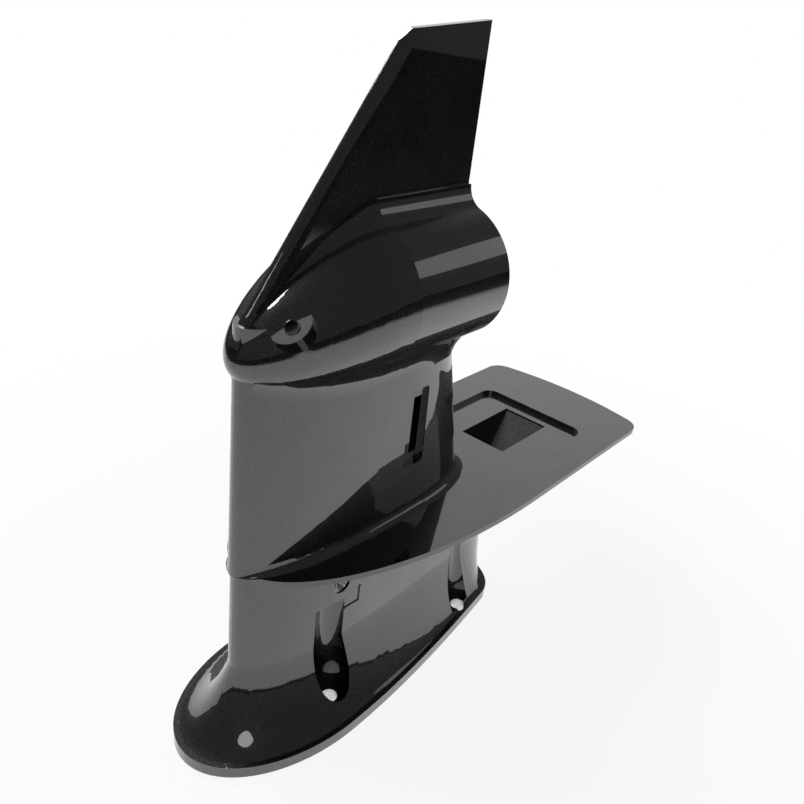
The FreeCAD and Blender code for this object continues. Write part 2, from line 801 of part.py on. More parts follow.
def bevel_gear(name, facing, hub_end, turn, first):
    """A bevel gear with its hub, dog lugs on its inner face and teeth towards the pinion."""
    blank = turned(name + "_blank", facing, [
        (gear_face, dim("gear_bore")),
        (gear_face, dim("gear_ring")),
        (root_along * inner_share, root_out * inner_share),
        (root_along, root_out),
        (root_along + 1.4, root_out - 0.7),
        (dim("gear_back"), dim("gear_web")),
        (dim("gear_back"), dim("hub_radius")),
        (hub_end, dim("hub_radius")),
        (hub_end, dim("gear_bore")),
    ], z=AXIS)
    teeth = lofted(name + "_teeth", teeth_form(
        GEAR_TEETH, PINION_TEETH, num("gear_addendum"), float(gear_dedendum), -SHIFT, turn, first))
    base = gear_face - dim("lug_height")
    lugs = []
    for i in range(int(num("lug_count"))):
        lug = bound("Cylinder", f"{name}_lug{i}", Radius=dim("lug_outer"), Height=dim("lug_height") + 0.2,
                    Angle=dim("lug_angle"))
        spin = FreeCAD.Rotation(vec(0, 0, 1), 360 * i / num("lug_count"))
        lugs.append(put(lug, x=base if facing == "aft" else -base, z=AXIS, turn=turn.multiply(spin)))
    room = bound("Cylinder", name + "_lug_room", Radius=dim("gear_bore") + 0.2, Height=dim("lug_height") * 4)
    put(room, x=(base - 1) if facing == "aft" else -(base - 1), z=AXIS, turn=turn)
    ring = less(name + "_lugs", joined(name + "_lug_set", "MultiFuse", lugs), room)
    return joined(name, "MultiFuse", [blank, teeth, ring])


TO_FORE = FreeCAD.Rotation(vec(0, 1, 0), -90)
TO_STRUT = FreeCAD.Rotation(vec(1, 0, 0), 180)
forward_hub_end = dim("gear_back") + dim("taper_width") + dim("hub_spare")
reverse_start = dim("gear_back") + dim("shim_thickness")
reverse_end = reverse_start + dim("ball_width")
reverse_hub_end = reverse_end - 0.1
# A tooth space of the forward gear, and a tooth of the reverse gear, face the pinion
forward_gear = bevel_gear("forward_gear", "fore", forward_hub_end, TO_FORE, math.pi + math.pi / GEAR_TEETH)
reverse_gear = bevel_gear("reverse_gear", "aft", reverse_hub_end, ALONG_X, 0)
for name, facing, hub_end in (("forward", "fore", forward_hub_end), ("reverse", "aft", reverse_hub_end)):
    tube(f"{name}_gear_bush", facing, gear_face, hub_end, dim("propeller_shaft") + dim("running_fit"),
         dim("gear_bore") - dim("slip_fit"), z=AXIS)

# Pinion: its body is turned downwards from the gears' common apex
pinion_root_along = gear_pitch + pinion_dedendum * (PINION_TEETH / SPAN)
pinion_root_out = pinion_pitch - pinion_dedendum * (GEAR_TEETH / SPAN)
pinion_blank = turned("pinion_blank", "down", [
    (pinion_root_along * inner_share, dim("spline_minor")),
    (pinion_root_along * inner_share, pinion_root_out * inner_share),
    (pinion_root_along, pinion_root_out),
    (pinion_root_along + 0.9, dim("pinion_collar")),
    (dim("pinion_back"), dim("pinion_collar")),
    (dim("pinion_back"), dim("pinion_hub")),
    (dim("pinion_hub_end"), dim("pinion_hub")),
    (dim("pinion_hub_end"), dim("spline_minor")),
], z=AXIS)
pinion_teeth = lofted("pinion_tooth_set", teeth_form(
    PINION_TEETH, GEAR_TEETH, num("pinion_addendum"), float(pinion_dedendum), SHIFT, TO_STRUT, math.pi))
splines = around(int(num("spline_count")), dim("spline_minor"), lambda i, x, y, angle: put(
    bound("Cylinder", f"spline{i}", Radius=dim("spline_groove"), Height=dim("pinion_hub_end")),
    x=x, y=y, z=AXIS - dim("pinion_hub_end") - 1))
less("pinion", joined("pinion_form", "MultiFuse", [pinion_blank, pinion_teeth]),
     joined("spline_set", "Compound", splines))
washer_room = dim("pinion_hub") + 0.3
tube("pinion_thrust_washer", "down", dim("pinion_seat") - dim("thrust_washer"), dim("pinion_seat"), washer_room,
     dim("pinion_room") - 0.4, z=AXIS)
needle_pitch = dim("pinion_hub") + dim("needle_radius") + dim("slip_fit")
shell_inner = needle_pitch + dim("needle_radius") + dim("slip_fit")
shell_outer = shell_inner + dim("shell_wall")
shell_start = dim("pinion_seat") + 0.4
shell_end = shell_start + dim("shell_length")
turned("pinion_bearing_shell", "down", [
    (shell_start, washer_room),
    (shell_start, shell_outer),
    (shell_end, shell_outer),
    (shell_end, washer_room),
    (shell_end - dim("shell_lip"), washer_room),
    (shell_end - dim("shell_lip"), shell_inner),
    (shell_start + dim("shell_lip"), shell_inner),
    (shell_start + dim("shell_lip"), washer_room),
], z=AXIS)
needle_top = AXIS - shell_end + dim("shell_lip") + (dim("shell_length") - dim("shell_lip") * 2 - dim("needle_length")) * 0.5
joined("pinion_needles", "Compound", around(int(num("needle_count")), needle_pitch, lambda i, x, y, angle: put(
    bound("Cylinder", f"needle{i}", Radius=dim("needle_radius"), Height=dim("needle_length")),
    x=x, y=y, z=needle_top)))

# Forward gear's taper roller bearing; its rollers' axes meet on the propeller shaft's axis
ALPHA = math.radians(num("taper_angle"))
BETA = math.atan(num("roller_radius") * math.sin(ALPHA) / num("taper_pitch"))
apex = dim("taper_middle") + dim("taper_pitch") * (1 / math.tan(ALPHA))


def race(along, angle, gap):
    return (apex - along) * math.tan(angle) + gap


def cone_race(along):
    return race(along, ALPHA - BETA, -dim("running_fit"))


def cup_race(along):
    return race(along, ALPHA + BETA, dim("running_fit"))


roller_reach = dim("roller_length") * (math.cos(ALPHA) / 2)
large_end = dim("taper_middle") - roller_reach - dim("roller_radius") * (math.sin(ALPHA) * 1.06) - 0.1
small_end = dim("taper_middle") + roller_reach + 0.1
cone_end = dim("gear_back") + dim("taper_width")
turned("forward_bearing_cone", "fore", [
    (dim("gear_back"), dim("hub_radius") + dim("slip_fit")),
    (dim("gear_back"), dim("large_rib")),
    (large_end, dim("large_rib")),
    (large_end, cone_race(large_end)),
    (small_end, cone_race(small_end)),
    (small_end, dim("small_rib")),
    (cone_end, dim("small_rib")),
    (cone_end, dim("hub_radius") + dim("slip_fit")),
], z=AXIS)
turned("forward_bearing_cup", "fore", [
    (dim("cup_start"), cup_race(dim("cup_start"))),
    (dim("cup_start"), dim("bearing_outer")),
    (dim("cup_end"), dim("bearing_outer")),
    (dim("cup_end"), cup_race(dim("cup_end"))),
], z=AXIS)
growth = dim("roller_radius") * (math.tan(BETA) / num("roller_radius") / 2)


def roller(name, i, cos, sin, spare):
    """A taper roller, or with some spare the room round it in the cage."""
    direction = vec(math.cos(ALPHA), math.sin(ALPHA) * cos, math.sin(ALPHA) * sin)
    half = dim("roller_length") * 0.5 + spare
    rise = half * math.tan(BETA)
    item = bound("Cone", f"{name}{i}", Radius1=dim("roller_radius") - rise + spare,
                 Radius2=dim("roller_radius") + rise + spare, Height=half * 2)
    back = half * math.sin(ALPHA)
    out = dim("taper_pitch") - back
    return put(item, x=-dim("taper_middle") - half * math.cos(ALPHA), y=out * cos, z=AXIS + out * sin,
               turn=FreeCAD.Rotation(vec(0, 0, 1), direction))


def roller_set(name, spare):
    count = int(num("roller_count"))
    return [roller(name, i, math.cos(2 * math.pi * i / count), math.sin(2 * math.pi * i / count), spare)
            for i in range(count)]


joined("forward_bearing_rollers", "Compound", roller_set("roller", 0.0))
cage_start = dim("taper_middle") - roller_reach - dim("cage_margin")
cage_end = dim("taper_middle") + roller_reach + dim("cage_margin")


def band(along, side):
    return (apex - along) * math.tan(ALPHA) + dim("cage_half") * side


cage_blank = turned("forward_cage_blank", "fore", [
    (cage_start, band(cage_start, -1)),
    (cage_start, band(cage_start, 1)),
    (cage_end, band(cage_end, 1)),
    (cage_end, band(cage_end, -1)),
], z=AXIS)
less("forward_bearing_cage", cage_blank, joined("forward_cage_room", "Compound", roller_set("roller_room", 0.15)))
tube("forward_gear_shim", "fore", dim("cup_end"), dim("cup_end") + dim("shim_thickness"),
     dim("front_pocket") + 0.5, dim("bearing_outer") - 0.2, z=AXIS)

# Reverse gear's ball bearing, seated in the carrier
ball_middle = reverse_start + dim("ball_width") * 0.5


def ball_ring(name, inner, outer):
    blank = tube(name + "_blank", "aft", reverse_start, reverse_end, inner, outer, z=AXIS)
    groove = bound("Torus", name + "_groove", Radius1=dim("ball_pitch"), Radius2=dim("ball_radius") + dim("running_fit"))
    return less(name, blank, put(groove, x=ball_middle, z=AXIS, turn=ALONG_X))


ball_ring("reverse_bearing_inner", dim("hub_radius") + dim("slip_fit"), dim("ball_pitch") - dim("ring_shoulder"))
ball_ring("reverse_bearing_outer", dim("ball_pitch") + dim("ring_shoulder"), dim("bearing_outer"))


def ball_set(name, spare):
    return around(int(num("ball_count")), dim("ball_pitch"), lambda i, y, z, angle: put(
        bound("Sphere", f"{name}{i}", Radius=dim("ball_radius") + spare), x=ball_middle, y=y, z=AXIS + z))


joined("reverse_bearing_balls", "Compound", ball_set("ball", 0.0))
ball_band = tube("reverse_cage_band", "aft", ball_middle - dim("band_width") * 0.5, ball_middle + dim("band_width") * 0.5,
                 dim("ball_pitch") - dim("band_half"), dim("ball_pitch") + dim("band_half"), z=AXIS)
less("reverse_bearing_cage", ball_band, joined("reverse_cage_room", "Compound", ball_set("ball_room", 0.12)))
tube("reverse_gear_shim", "aft", dim("gear_back"), reverse_start, dim("hub_radius") + 0.1,
     dim("ball_pitch") - dim("ring_shoulder"), z=AXIS)

# Bearing carrier: a turned body with two ears, held by a bolt in each
recess = dim("torpedo_rear") - dim("carrier_recess")
carrier_rear = recess + dim("carrier_flange")
carrier_front = reverse_start + 0.3
seal_start = carrier_rear - dim("seal_width") * 2 - 1
outer = dim("carrier_radius")
groove_end = dim("groove_place") + dim("groove_width")
carrier_blank = turned("carrier_blank", "aft", [
    (carrier_front, dim("bearing_outer") + dim("slip_fit")),
    (carrier_front, outer),
    (reverse_end + 3, outer),
    (reverse_end + 6, dim("carrier_waist")),
    (dim("bush_end") - 5, dim("carrier_waist")),
    (dim("bush_end") - 1, outer),
    (dim("groove_place"), outer),
    (dim("groove_place"), outer - dim("groove_depth")),
    (groove_end, outer - dim("groove_depth")),
    (groove_end, outer),
    (recess, outer),
    (recess, dim("carrier_disc")),
    (carrier_rear, dim("carrier_disc")),
    (carrier_rear, dim("seal_outer") + dim("slip_fit")),
    (seal_start, dim("seal_outer") + dim("slip_fit")),
    (seal_start, dim("bush_outer") - 1),
    (dim("bush_end"), dim("bush_outer") - 1),
    (dim("bush_end"), dim("bush_outer") + dim("slip_fit")),
    (reverse_end, dim("bush_outer") + dim("slip_fit")),
    (reverse_end, dim("bearing_outer") + dim("slip_fit")),
], z=AXIS)


def ear_plate(name, start, length, spare):
    """A bar across the axis with rounded ends, one towards the skeg and one towards the strut."""
    width = dim("ear_radius") + spare
    bar = bound("Box", name + "_bar", Length=length, Width=width * 2, Height=dim("ear_place") * 2)
    items = [put(bar, x=start, y=-width, z=AXIS - dim("ear_place"))]
    for side in (1, -1):
        end = bound("Cylinder", f"{name}_end{side + 1}", Radius=width, Height=length)
        items.append(put(end, x=start, z=AXIS + dim("ear_place") * side, turn=ALONG_X))
    return joined(name, "MultiFuse", items)


ears = ear_plate("carrier_ears", recess, dim("carrier_flange"), ZERO)
core = bound("Cylinder", "carrier_core", Radius=dim("seal_outer") + 4, Height=dim("carrier_flange") + 2)
put(core, x=recess - 1, z=AXIS, turn=ALONG_X)
ear_tips = less("carrier_ear_tips", ears, core)
holes = [drill(f"carrier_hole{side + 1}", dim("bolt_radius") + dim("bolt_clearance"), recess - 1, carrier_rear + 1,
               aft=True, z=AXIS + dim("ear_place") * side) for side in (1, -1)]
less("bearing_carrier", joined("carrier_form", "MultiFuse", [carrier_blank, ear_tips]),
     joined("carrier_holes", "Compound", holes))
ring_middle = outer - dim("groove_depth") * 0.5 + dim("running_fit") * 0.5
o_ring = bound("Torus", "carrier_o_ring", Radius1=ring_middle,
               Radius2=(dim("groove_depth") + dim("running_fit")) * 0.5 - dim("ring_fit"))
put(o_ring, x=dim("groove_place") + dim("groove_width") * 0.5, z=AXIS, turn=ALONG_X)
washer_end = carrier_rear + dim("washer_thickness")
washers, bolts = [], []
for side in (1, -1):
    level = AXIS + dim("ear_place") * side
    disc = drill(f"washer{side + 1}", dim("washer_radius"), carrier_rear, washer_end, aft=True, z=level)
    hole = drill(f"washer_hole{side + 1}", dim("bolt_radius") + 0.2, carrier_rear - 1, washer_end + 1, aft=True, z=level)
    washers.append(less(f"washer_ring{side + 1}", disc, hole))
    shank = drill(f"bolt_shank{side + 1}", dim("bolt_radius"), recess - dim("bolt_grip"), washer_end + 1, aft=True, z=level)
    head = bound("Prism", f"bolt_head{side + 1}", Polygon=6, Circumradius=dim("head_radius"), Height=dim("head_height"))
    put(head, x=washer_end, z=level, turn=ALONG_X)
    bolts.append(joined(f"bolt{side + 1}", "MultiFuse", [shank, head]))
joined("carrier_washers", "Compound", washers)
joined("carrier_bolts", "Compound", bolts)
tube("propeller_shaft_bush", "aft", dim("bush_start"), dim("bush_end"), dim("propeller_shaft") + dim("running_fit"),
     dim("bush_outer"), z=AXIS)


def lip_seal(name, facing, start, width, outer, shaft, **place):
    """A shaft seal: a band in its bore, a web on its far side and a lip towards the shaft."""
    lip = dim("seal_lip")
    return turned(name, facing, [
        (start, outer - lip),
        (start, outer),
        (start + width, outer),
        (start + width, shaft + 1.6),
        (start + width * 0.35, shaft + 0.1),
        (start + width * 0.25, shaft + 0.1),
        (start + width * 0.25, shaft + lip),
        (start + width - lip, shaft + lip + 1.6),
        (start + width - lip, outer - lip),
    ], **place)


shaft = dim("propeller_shaft")
joined("propeller_shaft_seals", "Compound", [
    lip_seal("inner_seal", "aft", seal_start, dim("seal_width"), dim("seal_outer"), shaft, z=AXIS),
    lip_seal("outer_seal", "aft", seal_start + dim("seal_width"), dim("seal_width"), dim("seal_outer"), shaft, z=AXIS),
])

# Passages in the flange: drive shaft seals and sleeve, shift rod bush and ring
seal_end, seal_width = dim("shaft_seal_end"), dim("shaft_seal_width")
joined("drive_shaft_seals", "Compound", [
    lip_seal("upper_seal", "up", seal_end - seal_width * 2, seal_width, dim("shaft_seal_outer"), dim("drive_shaft")),
    lip_seal("lower_seal", "up", seal_end - seal_width, seal_width, dim("shaft_seal_outer"), dim("drive_shaft")),
])
tube("drive_shaft_sleeve", "up", seal_end + 0.5, dim("sleeve_end"), dim("drive_shaft") + dim("running_fit"),
     dim("sleeve_outer"))
tube("shift_rod_bush", "up", dim("rod_bush_start"), dim("rod_bush_end"), dim("rod_radius") + dim("running_fit"),
     dim("rod_bush_outer"), x=-dim("rod_place"))
section = dim("rod_ring_section")
rod_ring = bound("Torus", "shift_rod_o_ring", Radius1=dim("rod_bush_outer") - section - dim("ring_fit"), Radius2=section)
put(rod_ring, x=-dim("rod_place"), z=dim("rod_bush_end") + section + 0.05)

# The casing: its lofted outer form, less every machined bore
outer_form = plate_form()
for form in (strut_form(), torpedo_form(), skeg_form(), leg_form(), flange_form(), outlet_hood()):
    outer_form = outer_form.fuse(form)
casting = lofted("casting", outer_form.cut(exhaust_cut() + water_cut() + bolt_cut() + dowel_cut()))
slip = dim("slip_fit")
start_below = ZERO - 1
bores = [
    drill("carrier_bore", dim("carrier_radius") + dim("running_fit"), -dim("cup_start"), dim("torpedo_rear") + 1, aft=True),
    drill("cup_bore", dim("bearing_outer") + slip, -dim("cup_end") - dim("shim_thickness"), ZERO, aft=True),
    drill("front_room", dim("front_pocket"), -dim("front_pocket_end"), ZERO, aft=True),
    drill("sump", dim("sump_radius"), -dim("sump_end"), ZERO, aft=True),
    drill("pump_room", dim("pump_seat"), start_below, dim("pump_seat_depth")),
    drill("shaft_seal_bore", dim("shaft_seal_outer") + slip, start_below, seal_end),
    drill("sleeve_bore", dim("sleeve_outer") + slip, start_below, dim("sleeve_end")),
    drill("shaft_passage", dim("passage_radius"), start_below, AXIS),
    drill("shell_bore", shell_outer + slip, AXIS - shell_end, AXIS),
    drill("pinion_bore", dim("pinion_room"), AXIS - dim("pinion_seat"), AXIS),
    drill("rod_seat", dim("rod_bush_outer") + slip, start_below, dim("rod_bush_end") + section * 2 + 0.15,
          x=-dim("rod_place")),
    drill("rod_way", dim("rod_passage"), start_below, AXIS, x=-dim("rod_place")),
    ear_plate("carrier_seat_ears", recess, dim("carrier_recess") + 1, dim("carrier_margin")),
    drill("carrier_seat", dim("carrier_disc") + dim("carrier_margin"), recess, dim("torpedo_rear") + 1, aft=True),
]
for side in (1, -1):
    bores.append(drill(f"bolt_thread{side + 1}", dim("bolt_radius") + slip, recess - dim("bolt_grip") - 2, recess + 1,
                       aft=True, z=AXIS + dim("ear_place") * side))


def sideways(name, radius, x, y, z, turn, length):
    """A cutter that starts inside the casing and leaves it to starboard."""
    tool = bound("Cylinder", name, Radius=radius, Height=length)
    heading = FreeCAD.Rotation(vec(0, 0, 1), -turn).multiply(FreeCAD.Rotation(vec(1, 0, 0), 90))
    return put(tool, x=x, y=y, z=z, turn=heading)


drain_level = AXIS + dim("drain_rise")
turn = num("drain_turn")
seat_y = dim("drain_seat_y")
lead = seat_y * math.tan(math.radians(turn))
bores += [
    sideways("drain_hole", dim("oil_hole"), -dim("drain_x"), ZERO, drain_level, turn, dim("drain_x")),
    sideways("drain_seat", dim("oil_seat"), -dim("drain_x") - lead, -seat_y, drain_level, turn, dim("drain_x")),
    sideways("level_hole", dim("oil_hole"), -dim("level_x"), ZERO, dim("level_level"), 0, dim("leg_half") + 5),
    drill("level_way", dim("oil_hole") - 0.8, -dim("level_x") - 2, ZERO, aft=True, z=dim("level_level")),
    sideways("level_seat_cut", dim("level_seat"), -dim("level_x"), dim("level_seat_depth") - dim("leg_half"),
             dim("level_level"), 0, dim("leg_half")),
]
less("lower_casing", casting, joined("bore_set", "MultiFuse", bores))

NODES = [
    "lower_casing", "bearing_carrier", "carrier_bolts", "carrier_washers", "carrier_o_ring",
    "propeller_shaft_bush", "propeller_shaft_seals",
    "reverse_bearing_outer", "reverse_bearing_inner", "reverse_bearing_balls", "reverse_bearing_cage",
    "reverse_gear", "reverse_gear_bush", "reverse_gear_shim",
    "forward_gear", "forward_gear_bush", "forward_gear_shim",
    "forward_bearing_cup", "forward_bearing_cone", "forward_bearing_rollers", "forward_bearing_cage",
    "pinion", "pinion_bearing_shell", "pinion_needles", "pinion_thrust_washer",
    "drive_shaft_sleeve", "drive_shaft_seals", "shift_rod_bush", "shift_rod_o_ring",
]
doc.recompute()
for item in doc.Objects:
    if "Invalid" in item.State or "Error" in item.State:
        raise RuntimeError(f"{item.Name} did not compute")
os.makedirs("parts", exist_ok=True)
for name in NODES:
    item = doc.getObject(name)
    item.Label = name
    shape = item.Shape
    if shape.isNull() or not shape.isValid() or not shape.Solids:
        raise RuntimeError(f"{name} has no sound solid")
    print(name, len(shape.Solids), "solids", round(shape.Volume), "cubic mm")
    shape.exportStep(f"parts/{name}.step")
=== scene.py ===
# %% [markdown]
# An outboard motor's lower casing, standing upside down on its mounting flange. The CAD model
# gives every solid in one frame: metres, +Z from the flange to the skeg's tip, +X aft and
# starboard on -Y. This script adds what the solids lack: paint and metal finishes, cut
# threads, seal springs, a camera and a small photo studio.

# %% Load the frame
import bpy
import json
import math
from mathutils import Matrix, Vector


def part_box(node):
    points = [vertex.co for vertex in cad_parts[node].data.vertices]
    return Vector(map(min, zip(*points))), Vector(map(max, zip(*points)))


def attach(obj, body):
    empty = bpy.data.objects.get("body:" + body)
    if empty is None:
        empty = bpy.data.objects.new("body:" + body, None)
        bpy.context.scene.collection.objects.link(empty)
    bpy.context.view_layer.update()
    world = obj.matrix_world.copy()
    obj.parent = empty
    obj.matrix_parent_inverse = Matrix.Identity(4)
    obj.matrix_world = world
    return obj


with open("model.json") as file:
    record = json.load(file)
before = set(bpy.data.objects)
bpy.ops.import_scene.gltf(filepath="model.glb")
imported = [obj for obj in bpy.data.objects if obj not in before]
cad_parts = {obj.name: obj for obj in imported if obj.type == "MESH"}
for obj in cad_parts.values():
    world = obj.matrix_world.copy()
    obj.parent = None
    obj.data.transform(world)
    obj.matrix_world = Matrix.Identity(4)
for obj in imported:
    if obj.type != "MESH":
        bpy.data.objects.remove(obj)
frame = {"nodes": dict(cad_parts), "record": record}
nodes = frame["nodes"]
mounts = {mount["name"]: mount for mount in frame["record"]["mounts"]}
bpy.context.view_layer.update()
MM = 0.001

# %% [markdown]
# The camera comes first. Its place was found from the outline in the photograph: it looks at
# the nose from the front, starboard and a little above, with the phone held slightly tilted.
# Three angles are easier to read than a matrix of numbers, so the matrix is made from them.

# %% Camera
AZIMUTH, ELEVATION, ROLL = (math.radians(angle) for angle in (-54.595, 23.998, 7.907))
TARGET, DISTANCE = Vector((0.08307, 0.0, 0.17687)), 0.48584
FRAME_SIDE, FOCAL_PIXELS, CENTRE_PIXEL = 804, 838.7, (455.35, 352.07)
SENSOR_WIDTH = 36

back = Vector((math.sin(AZIMUTH) * math.cos(ELEVATION),
               -math.cos(AZIMUTH) * math.cos(ELEVATION),
               math.sin(ELEVATION)))
level_right = Vector((0, 0, 1)).cross(back).normalized()
level_up = back.cross(level_right)
right = math.cos(ROLL) * level_right + math.sin(ROLL) * level_up
up = back.cross(right)
lens = bpy.data.cameras.new("camera")
lens.sensor_width = SENSOR_WIDTH
lens.lens = SENSOR_WIDTH * FOCAL_PIXELS / FRAME_SIDE
lens.shift_x = (FRAME_SIDE / 2 - CENTRE_PIXEL[0]) / FRAME_SIDE
lens.shift_y = (CENTRE_PIXEL[1] - FRAME_SIDE / 2) / FRAME_SIDE
camera = bpy.data.objects.new("camera", lens)
turn = Matrix((right, up, back)).transposed()
camera.matrix_world = Matrix.Translation(TARGET + back * DISTANCE) @ turn.to_4x4()
bpy.context.collection.objects.link(camera)
bpy.context.scene.camera = camera
bpy.context.scene.view_settings.view_transform = "Standard"
print("camera at", [round(v, 4) for v in TARGET + back * DISTANCE], "lens", round(lens.lens, 2))

# %% [markdown]
# Finishes are made of shader nodes. Wiring them by hand hides the idea, so a small class
# lets a socket be used in ordinary arithmetic: each operator adds one Math node.

# %% Shader arithmetic
class Tap:
    """An output socket of a material that can stand in a Python expression."""

    def __init__(self, tree, socket=None):
        self.tree = tree
        self.socket = socket

    def node(self, kind, settings=None, sockets=None, output=0):
        made = self.tree.nodes.new(kind)
        for name, value in (settings or {}).items():
            setattr(made, name, value)
        for name, value in (sockets or {}).items():
            if isinstance(value, Tap):
                self.tree.links.new(value.socket, made.inputs[name])
            else:
                made.inputs[name].default_value = value
        return Tap(self.tree, made.outputs[output])

    def maths(self, operation, *values):
        return self.node("ShaderNodeMath", {"operation": operation}, dict(enumerate(values)))

    def __add__(self, other):
        return self.maths("ADD", self, other)

    def __sub__(self, other):
        return self.maths("SUBTRACT", self, other)

    def __rsub__(self, other):
        return self.maths("SUBTRACT", other, self)

    def __mul__(self, other):
        return self.maths("MULTIPLY", self, other)

    def __or__(self, other):
        """The larger of two values: where either of two masks is set."""
        return self.maths("MAXIMUM", self, other)

    def __gt__(self, other):
        return self.maths("GREATER_THAN", self, other)

    def __lt__(self, other):
        return self.maths("LESS_THAN", self, other)

    def ramp(self, low, high, start=0.0, end=1.0):
        """A smooth step from start to end while the value goes from low to high."""
        return self.node("ShaderNodeMapRange", {"interpolation_type": "SMOOTHSTEP"},
                         {"Value": self, "From Min": low, "From Max": high,
                          "To Min": start, "To Max": end})

    def mix(self, first, second):
        """Two colours mixed by this value."""
        return self.node("ShaderNodeMix", {"data_type": "RGBA"},
                         {0: self, 6: first, 7: second}, output=2)

    __radd__ = __add__
    __rmul__ = __mul__


print("shader arithmetic ready")

# %% [markdown]
# Every finish starts the same way: a material with one Principled shader. Values that are the
# same all over a surface are written on the shader's own sockets. Values that change over it
# are fed from a tap.

# %% New finishes
def new_finish(name, **fixed):
    """A material with one Principled shader, its fixed values, and a tap on its node tree."""
    material = bpy.data.materials.new(name)
    material.use_nodes = True
    shader = material.node_tree.nodes["Principled BSDF"]
    for socket, value in fixed.items():
        shader.inputs[socket.replace("_", " ")].default_value = value
    return material, shader, Tap(material.node_tree)


def feed(shader, **taps):
    for socket, tap in taps.items():
        tap.tree.links.new(tap.socket, shader.inputs[socket.replace("_", " ")])


def colour(red, green, blue):
    return (red, green, blue, 1.0)


def grey(value):
    return colour(value, value, value)


def bump(tap, height, depth, strength):
    return tap.node("ShaderNodeBump", None,
                    {"Height": height, "Distance": depth, "Strength": strength})


print("a finish can be started")

# %% [markdown]
# Position masks. The casing is one casting, painted all over and then machined, so bare metal
# shows wherever a cutter went. The machined places are simple shapes, and a distance from an
# axis tells the shader where they are. Object coordinates equal the part's own frame here.

# %% Where a point lies
SHAFT_LEVEL = 0.2318
PROPELLER_AXIS = (0.0, SHAFT_LEVEL)
DRIVE_AXIS = (0.0, 0.0)
ROD_AXIS = (-0.042, 0.0)


def place(tap):
    """A surface point, in metres, in the part's frame."""
    return tap.node("ShaderNodeTexCoord", output="Object")


def coordinates(tap, where):
    return [tap.node("ShaderNodeSeparateXYZ", None, {0: where}, output=axis) for axis in "XYZ"]


def far_from(first, second, centre):
    """Distance from an axis that crosses the plane of two coordinates at a centre."""
    a, b = first - centre[0], second - centre[1]
    square = a * a + b * b
    return square.maths("SQRT", square)


def noise(tap, where, scale, detail=3.0):
    return tap.node("ShaderNodeTexNoise", None,
                    {"Vector": where, "Scale": scale, "Detail": detail})


print("propeller shaft at", SHAFT_LEVEL, "shift rod at", ROD_AXIS)

# %% [markdown]
# Where the cutters went. Each bore along a shaft is a cylinder that ends at a depth, and the
# bolt and level holes are where the CAD record says they are. Painting a second material on
# chosen faces would do as well, but a mask keeps the casing one piece with one material, and
# its border stays sharp at any size.

# %% Bare metal mask
PROPELLER_BORES = ((26.8, -19.5), (23.8, -33.0), (16.8, -40.5))  # radius, foremost x
DRIVE_BORES = ((24.5, 5.2), (12.8, 21.2), (10.4, 46.5))  # radius, highest z
ROD_BORE = (7.5, 20.0)
BOLT_HOLE = (4.6, 8.3)
LEVEL_HOLE_RADIUS, LEVEL_HOLE_END = 3.6, -1.0
FLANGE_SKIM = 0.04


def machined(x, y, z):
    """1 on the flange face and in the bores and holes, 0 on the painted skin."""
    bare = z < FLANGE_SKIM * MM
    from_propeller = far_from(y, z, PROPELLER_AXIS)
    for radius, foremost in PROPELLER_BORES:
        bare = bare | (from_propeller < radius * MM) * (x > foremost * MM)
    from_drive = far_from(x, y, DRIVE_AXIS)
    for radius, highest in DRIVE_BORES:
        bare = bare | (from_drive < radius * MM) * (z < highest * MM)
    bare = bare | (far_from(x, y, ROD_AXIS) < ROD_BORE[0] * MM) * (z < ROD_BORE[1] * MM)
    for name in ("flange_bolts_front", "flange_bolts_rear"):
        off_centre = mounts[name]["dims"]["spacing_y_mm"] / 2 * MM
        from_bolt = far_from(x, y.maths("ABSOLUTE", y), (mounts[name]["pos_m"][0], off_centre))
        bare = bare | (from_bolt < BOLT_HOLE[0] * MM) * (z < BOLT_HOLE[1] * MM)
    level_x, level_z = mounts["level_hole"]["pos_m"][::2]
    from_level = far_from(x, z, (level_x, level_z))
    return bare | (from_level < LEVEL_HOLE_RADIUS * MM) * (y < LEVEL_HOLE_END * MM)


print("machined places", 3 + len(PROPELLER_BORES) + len(DRIVE_BORES) + 2)

# %% [markdown]
# The paint. Up close it isn't plain black: fine aluminium flakes lie in a dark base coat, and
# a clear coat seals them. Flakes could be modelled as speckle in a picture, but cells of
# noise a quarter of a millimetre wide never repeat and stay sharp. Each cell is one flake
# with its own brightness. The clear coat on top gives the mirror-like gloss, and a very
# shallow, wide bump gives it the faint waviness that sprayed lacquer has.

# %% Gloss black paint and machined aluminium
FLAKES_PER_METRE = 4200.0
PAINT_DARK, FLAKE_BRIGHT = colour(0.003, 0.003, 0.004), colour(0.11, 0.11, 0.125)
CUT_DARK, CUT_LIGHT = colour(0.5, 0.51, 0.52), colour(0.66, 0.67, 0.68)
BASE_ROUGHNESS, CUT_ROUGHNESS = 0.42, 0.3
WAVE_DEPTH = 0.06 * MM


